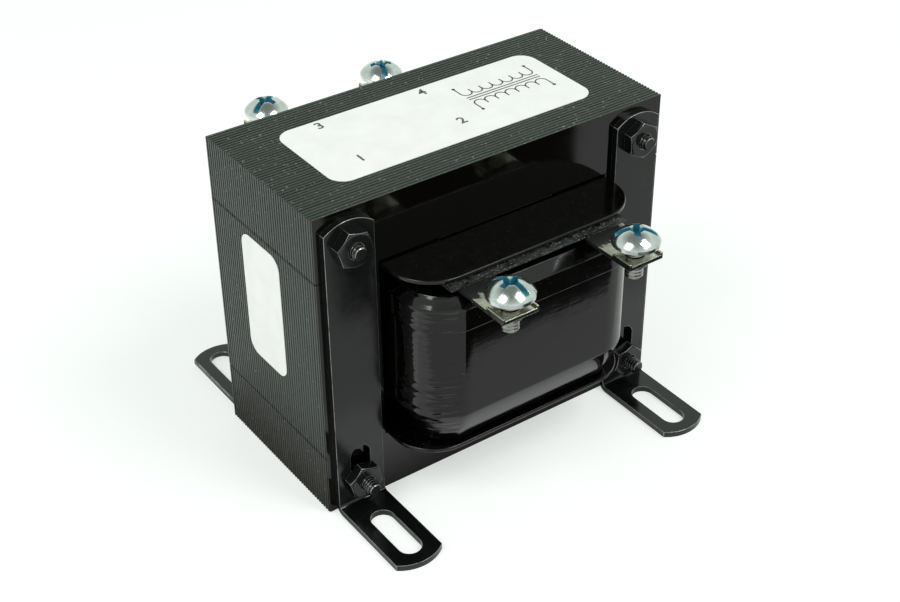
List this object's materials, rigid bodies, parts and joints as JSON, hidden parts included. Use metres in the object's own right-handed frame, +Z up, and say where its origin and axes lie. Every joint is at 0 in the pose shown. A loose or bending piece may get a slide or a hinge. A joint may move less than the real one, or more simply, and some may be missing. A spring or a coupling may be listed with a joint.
{
  "type": "laminated chassis transformer",
  "caption": "Open-frame chassis transformer: interleaved steel core, taped coil on a flanged former, slotted foot straps bolted through the corners and screw terminals front and rear.",
  "frame": {"origin": "centre of the footprint, on the plane under the four feet", "axes": "+X along the core's long side, +Y from the nut side with the raised front terminals to the bolt-head side, +Z up"},
  "size_m": [0.0963, 0.1122, 0.0804],
  "materials": {
    "core_steel": "satin black varnish over silicon steel, fine edge lines",
    "former_board": "varnished dark pressboard",
    "copper_wire": "enamelled copper, varnished",
    "insulation_paper": "varnished insulation paper",
    "coil_tape": "gloss black varnished tape, wrinkled",
    "board": "rough varnish-crusted board",
    "tab_zinc": "zinc plate, black varnish on the root",
    "screw_zinc": "bright zinc plate",
    "strap_black": "gloss black enamel with bright worn edges",
    "bolt_black": "black enamel over steel threads",
    "label_film": "smooth off-white label"
  },
  "bodies": {
    "root": {"e_laminations_upright": "core_steel", "e_laminations_inverted": "core_steel", "i_laminations_upper": "core_steel", "i_laminations_lower": "core_steel", "coil_former": "former_board", "inner_winding": "copper_wire", "outer_winding": "copper_wire", "lead_wires": "copper_wire", "winding_insulation": "insulation_paper", "coil_wrap": "coil_tape", "terminal_board_front": "board", "terminal_board_rear": "board", "tab_front_left": "tab_zinc", "tab_front_right": "tab_zinc", "tab_rear_left": "tab_zinc", "tab_rear_right": "tab_zinc", "terminal_screws": "screw_zinc", "strap_front_left": "strap_black", "strap_front_right": "strap_black", "strap_rear_left": "strap_black", "strap_rear_right": "strap_black", "core_bolts_upper": "bolt_black", "core_bolts_lower": "bolt_black", "core_nuts": "bolt_black", "top_label": "label_film", "side_label": "label_film"}
  },
  "joints": []
}
